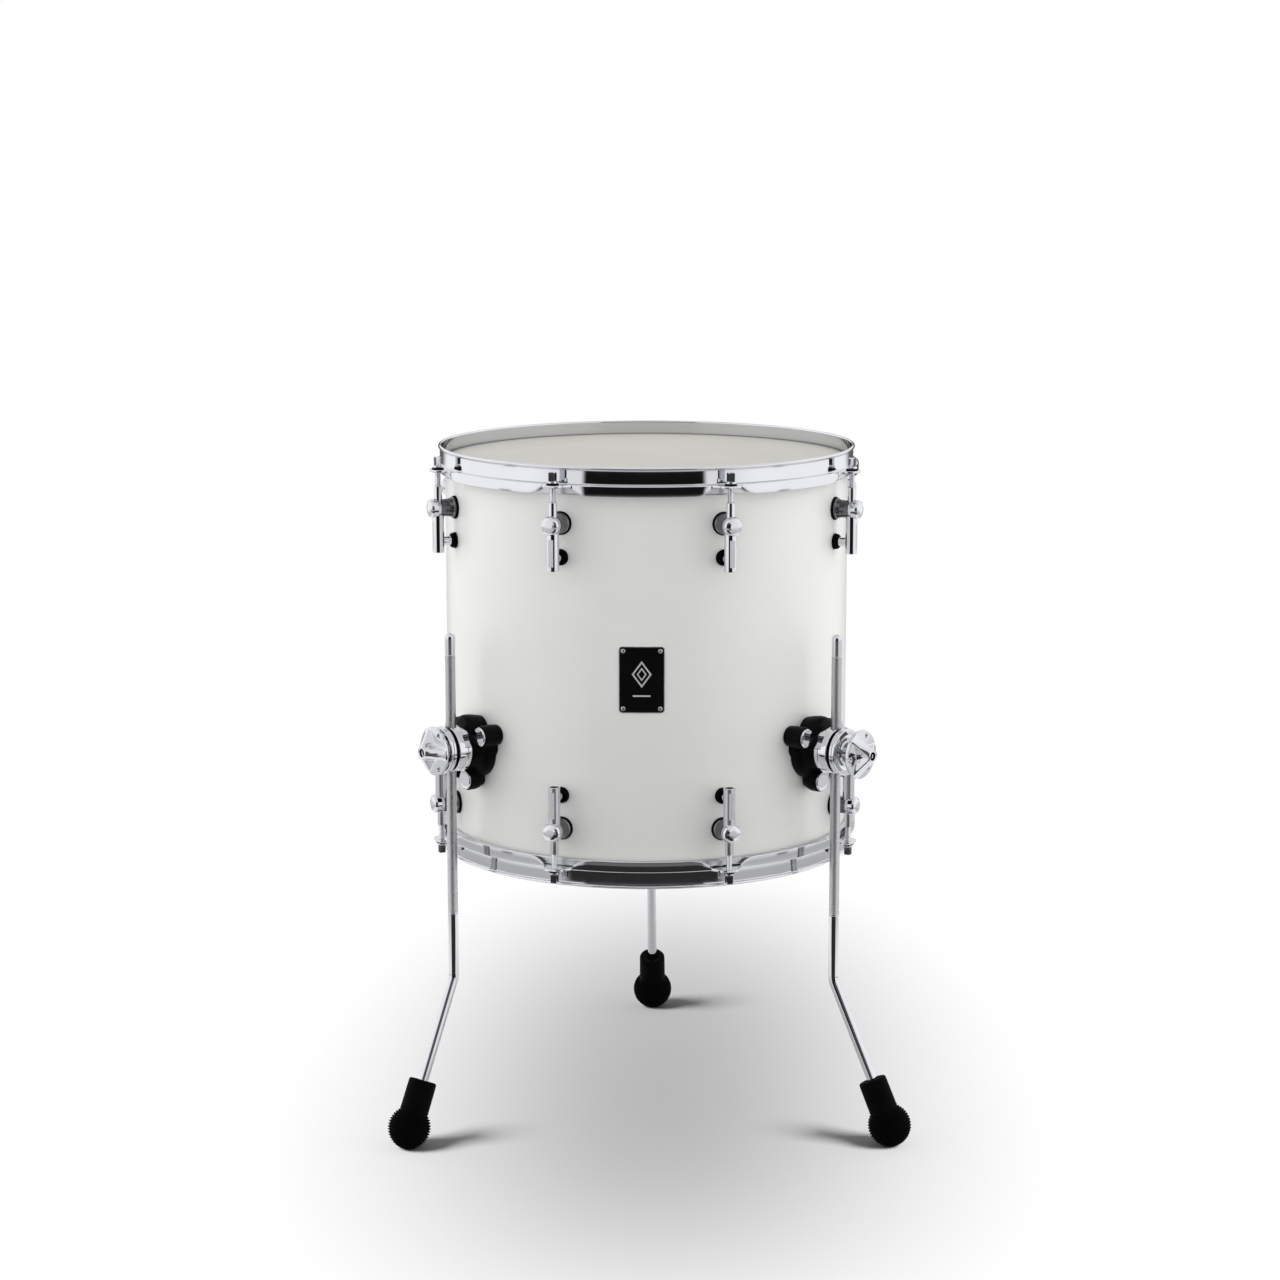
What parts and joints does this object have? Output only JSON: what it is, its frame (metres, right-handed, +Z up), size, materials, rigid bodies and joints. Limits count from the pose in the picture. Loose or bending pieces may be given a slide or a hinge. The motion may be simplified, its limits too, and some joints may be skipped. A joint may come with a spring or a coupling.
{
  "type": "floor tom drum",
  "caption": "Free-standing floor tom: cylindrical wooden shell, flanged metal hoops, tube lugs, and height-adjustable bent legs in clamp brackets.",
  "frame": {"origin": "on the floor, under the drum's axis", "axes": "+Z up along the drum's axis, -Y towards the badge side, +X to the right seen from the badge side"},
  "size_m": [0.5162, 0.5352, 0.6771],
  "materials": {
    "shell_lacquer": "satin white lacquer over thin plywood",
    "chrome": "polished chrome plate",
    "steel": "zinc-plated steel",
    "leg_steel": "polished at the ends, fine knurl in the middle",
    "black_plastic": "fine-grained moulding",
    "black_rubber": "matt rubber",
    "nylon": "natural nylon",
    "head_film": "coated polyester film",
    "head_film_clear": "translucent polyester film",
    "ring_aluminium": "pressed channel",
    "badge_black": "black anodised plate with a bright edge"
  },
  "bodies": {
    "root": {"badge_plate": "badge_black", "badge_rivets": "steel", "batter_flesh_ring": "ring_aluminium", "batter_head": "head_film", "bracket_bases": "black_plastic", "bracket_lobe_caps": "chrome", "bracket_screws": "steel", "bracket_washers": "steel", "clamp_bodies": "chrome", "clamp_caps": "chrome", "clamp_eyebolts": "chrome", "clamp_rings": "black_rubber", "lug_bodies": "chrome", "lug_gaskets": "black_rubber", "lug_isolators": "black_rubber", "lug_screws": "steel", "lug_swivel_nuts": "chrome", "lug_tubes": "chrome", "lug_washers": "steel", "resonant_flesh_ring": "ring_aluminium", "resonant_head": "head_film_clear", "shell": "shell_lacquer", "vent_grommet": "chrome"},
    "batter_hoop": {"batter_hoop": "chrome", "batter_rod_washers": "black_plastic"},
    "resonant_hoop": {"resonant_hoop": "chrome", "resonant_rod_washers": "black_plastic"},
    "batter_rod_1": {"batter_rod_1": "chrome"},
    "batter_rod_2": {"batter_rod_2": "chrome"},
    "batter_rod_3": {"batter_rod_3": "chrome"},
    "batter_rod_4": {"batter_rod_4": "chrome"},
    "batter_rod_5": {"batter_rod_5": "chrome"},
    "batter_rod_6": {"batter_rod_6": "chrome"},
    "batter_rod_7": {"batter_rod_7": "chrome"},
    "batter_rod_8": {"batter_rod_8": "chrome"},
    "resonant_rod_1": {"resonant_rod_1": "chrome"},
    "resonant_rod_2": {"resonant_rod_2": "chrome"},
    "resonant_rod_3": {"resonant_rod_3": "chrome"},
    "resonant_rod_4": {"resonant_rod_4": "chrome"},
    "resonant_rod_5": {"resonant_rod_5": "chrome"},
    "resonant_rod_6": {"resonant_rod_6": "chrome"},
    "resonant_rod_7": {"resonant_rod_7": "chrome"},
    "resonant_rod_8": {"resonant_rod_8": "chrome"},
    "leg_bush_front_left": {"leg_bush_front_left": "nylon"},
    "leg_front_left": {"leg_front_left": "leg_steel", "foot_front_left": "black_rubber"},
    "wing_washer_front_left": {"wing_washer_front_left": "steel"},
    "wing_nut_front_left": {"wing_nut_front_left": "chrome"},
    "leg_bush_front_right": {"leg_bush_front_right": "nylon"},
    "leg_front_right": {"leg_front_right": "leg_steel", "foot_front_right": "black_rubber"},
    "wing_washer_front_right": {"wing_washer_front_right": "steel"},
    "wing_nut_front_right": {"wing_nut_front_right": "chrome"},
    "leg_bush_rear": {"leg_bush_rear": "nylon"},
    "leg_rear": {"leg_rear": "leg_steel", "foot_rear": "black_rubber"},
    "wing_washer_rear": {"wing_washer_rear": "steel"},
    "wing_nut_rear": {"wing_nut_rear": "chrome"}
  },
  "joints": [
    {"name": "batter_hoop_lift", "type": "slide", "parent": "root", "child": "batter_hoop", "axis": [0, 0, 1], "range_m": [0, 0.05]},
    {"name": "resonant_hoop_drop", "type": "slide", "parent": "root", "child": "resonant_hoop", "axis": [0, 0, -1], "range_m": [0, 0.05]},
    {"name": "batter_rod_1_turn", "type": "hinge", "parent": "batter_hoop", "child": "batter_rod_1", "pos_m": [0.08427, -0.20344, 0.663], "axis": [0, 0, 1], "range_deg": [0, 18000.5]},
    {"name": "batter_rod_2_turn", "type": "hinge", "parent": "batter_hoop", "child": "batter_rod_2", "pos_m": [0.20344, -0.08427, 0.663], "axis": [0, 0, 1], "range_deg": [0, 18000.5]},
    {"name": "batter_rod_3_turn", "type": "hinge", "parent": "batter_hoop", "child": "batter_rod_3", "pos_m": [0.20344, 0.08427, 0.663], "axis": [0, 0, 1], "range_deg": [0, 18000.5]},
    {"name": "batter_rod_4_turn", "type": "hinge", "parent": "batter_hoop", "child": "batter_rod_4", "pos_m": [0.08427, 0.20344, 0.663], "axis": [0, 0, 1], "range_deg": [0, 18000.5]},
    {"name": "batter_rod_5_turn", "type": "hinge", "parent": "batter_hoop", "child": "batter_rod_5", "pos_m": [-0.08427, 0.20344, 0.663], "axis": [0, 0, 1], "range_deg": [0, 18000.5]},
    {"name": "batter_rod_6_turn", "type": "hinge", "parent": "batter_hoop", "child": "batter_rod_6", "pos_m": [-0.20344, 0.08427, 0.663], "axis": [0, 0, 1], "range_deg": [0, 18000.5]},
    {"name": "batter_rod_7_turn", "type": "hinge", "parent": "batter_hoop", "child": "batter_rod_7", "pos_m": [-0.20344, -0.08427, 0.663], "axis": [0, 0, 1], "range_deg": [0, 18000.5]},
    {"name": "batter_rod_8_turn", "type": "hinge", "parent": "batter_hoop", "child": "batter_rod_8", "pos_m": [-0.08427, -0.20344, 0.663], "axis": [0, 0, 1], "range_deg": [0, 18000.5]},
    {"name": "resonant_rod_1_turn", "type": "hinge", "parent": "resonant_hoop", "child": "resonant_rod_1", "pos_m": [0.08427, -0.20344, 0.282], "axis": [0, 0, -1], "range_deg": [0, 18000.5]},
    {"name": "resonant_rod_2_turn", "type": "hinge", "parent": "resonant_hoop", "child": "resonant_rod_2", "pos_m": [0.20344, -0.08427, 0.282], "axis": [0, 0, -1], "range_deg": [0, 18000.5]},
    {"name": "resonant_rod_3_turn", "type": "hinge", "parent": "resonant_hoop", "child": "resonant_rod_3", "pos_m": [0.20344, 0.08427, 0.282], "axis": [0, 0, -1], "range_deg": [0, 18000.5]},
    {"name": "resonant_rod_4_turn", "type": "hinge", "parent": "resonant_hoop", "child": "resonant_rod_4", "pos_m": [0.08427, 0.20344, 0.282], "axis": [0, 0, -1], "range_deg": [0, 18000.5]},
    {"name": "resonant_rod_5_turn", "type": "hinge", "parent": "resonant_hoop", "child": "resonant_rod_5", "pos_m": [-0.08427, 0.20344, 0.282], "axis": [0, 0, -1], "range_deg": [0, 18000.5]},
    {"name": "resonant_rod_6_turn", "type": "hinge", "parent": "resonant_hoop", "child": "resonant_rod_6", "pos_m": [-0.20344, 0.08427, 0.282], "axis": [0, 0, -1], "range_deg": [0, 18000.5]},
    {"name": "resonant_rod_7_turn", "type": "hinge", "parent": "resonant_hoop", "child": "resonant_rod_7", "pos_m": [-0.20344, -0.08427, 0.282], "axis": [0, 0, -1], "range_deg": [0, 18000.5]},
    {"name": "resonant_rod_8_turn", "type": "hinge", "parent": "resonant_hoop", "child": "resonant_rod_8", "pos_m": [-0.08427, -0.20344, 0.282], "axis": [0, 0, -1], "range_deg": [0, 18000.5]},
    {"name": "leg_turn_front_left", "type": "hinge", "parent": "root", "child": "leg_bush_front_left", "pos_m": [-0.18802, -0.14428, 0.392], "axis": [0, 0, 1], "continuous": true},
    {"name": "leg_height_front_left", "type": "slide", "parent": "leg_bush_front_left", "child": "leg_front_left", "axis": [0, 0, 1], "range_m": [-0.09, 0.1]},
    {"name": "wing_travel_front_left", "type": "slide", "parent": "root", "child": "wing_washer_front_left", "axis": [-0.7934, -0.6088, 0], "range_m": [0, 0.01251]},
    {"name": "wing_turn_front_left", "type": "hinge", "parent": "wing_washer_front_left", "child": "wing_nut_front_left", "pos_m": [-0.20389, -0.15645, 0.392], "axis": [-0.7934, -0.6088, 0], "range_deg": [0, 3600]},
    {"name": "leg_turn_front_right", "type": "hinge", "parent": "root", "child": "leg_bush_front_right", "pos_m": [0.18802, -0.14428, 0.392], "axis": [0, 0, 1], "continuous": true},
    {"name": "leg_height_front_right", "type": "slide", "parent": "leg_bush_front_right", "child": "leg_front_right", "axis": [0, 0, 1], "range_m": [-0.09, 0.1]},
    {"name": "wing_travel_front_right", "type": "slide", "parent": "root", "child": "wing_washer_front_right", "axis": [0.7934, -0.6088, 0], "range_m": [-0.01001, 0.00251]},
    {"name": "wing_turn_front_right", "type": "hinge", "parent": "wing_washer_front_right", "child": "wing_nut_front_right", "pos_m": [0.20389, -0.15645, 0.392], "axis": [0.7934, -0.6088, 0], "range_deg": [-2880, 720]},
    {"name": "leg_turn_rear", "type": "hinge", "parent": "root", "child": "leg_bush_rear", "pos_m": [0, 0.237, 0.392], "axis": [0, 0, 1], "continuous": true},
    {"name": "leg_height_rear", "type": "slide", "parent": "leg_bush_rear", "child": "leg_rear", "axis": [0, 0, 1], "range_m": [-0.09, 0.1]},
    {"name": "wing_travel_rear", "type": "slide", "parent": "root", "child": "wing_washer_rear", "axis": [0, 1, 0], "range_m": [0, 0.01251]},
    {"name": "wing_turn_rear", "type": "hinge", "parent": "wing_washer_rear", "child": "wing_nut_rear", "pos_m": [0, 0.257, 0.392], "axis": [0, 1, 0], "range_deg": [0, 3600]}
  ],
  "couplings": [
    {"joint": "batter_rod_1_turn", "follows": "batter_hoop_lift", "rad_per_m": 6283.2},
    {"joint": "batter_rod_2_turn", "follows": "batter_hoop_lift", "rad_per_m": 6283.2},
    {"joint": "batter_rod_3_turn", "follows": "batter_hoop_lift", "rad_per_m": 6283.2},
    {"joint": "batter_rod_4_turn", "follows": "batter_hoop_lift", "rad_per_m": 6283.2},
    {"joint": "batter_rod_5_turn", "follows": "batter_hoop_lift", "rad_per_m": 6283.2},
    {"joint": "batter_rod_6_turn", "follows": "batter_hoop_lift", "rad_per_m": 6283.2},
    {"joint": "batter_rod_7_turn", "follows": "batter_hoop_lift", "rad_per_m": 6283.2},
    {"joint": "batter_rod_8_turn", "follows": "batter_hoop_lift", "rad_per_m": 6283.2},
    {"joint": "resonant_rod_1_turn", "follows": "resonant_hoop_drop", "rad_per_m": 6283.2},
    {"joint": "resonant_rod_2_turn", "follows": "resonant_hoop_drop", "rad_per_m": 6283.2},
    {"joint": "resonant_rod_3_turn", "follows": "resonant_hoop_drop", "rad_per_m": 6283.2},
    {"joint": "resonant_rod_4_turn", "follows": "resonant_hoop_drop", "rad_per_m": 6283.2},
    {"joint": "resonant_rod_5_turn", "follows": "resonant_hoop_drop", "rad_per_m": 6283.2},
    {"joint": "resonant_rod_6_turn", "follows": "resonant_hoop_drop", "rad_per_m": 6283.2},
    {"joint": "resonant_rod_7_turn", "follows": "resonant_hoop_drop", "rad_per_m": 6283.2},
    {"joint": "resonant_rod_8_turn", "follows": "resonant_hoop_drop", "rad_per_m": 6283.2},
    {"joint": "wing_travel_front_left", "follows": "wing_turn_front_left", "m_per_rad": 0.00019894},
    {"joint": "wing_travel_front_right", "follows": "wing_turn_front_right", "m_per_rad": 0.00019894},
    {"joint": "wing_travel_rear", "follows": "wing_turn_rear", "m_per_rad": 0.00019894}
  ]
}
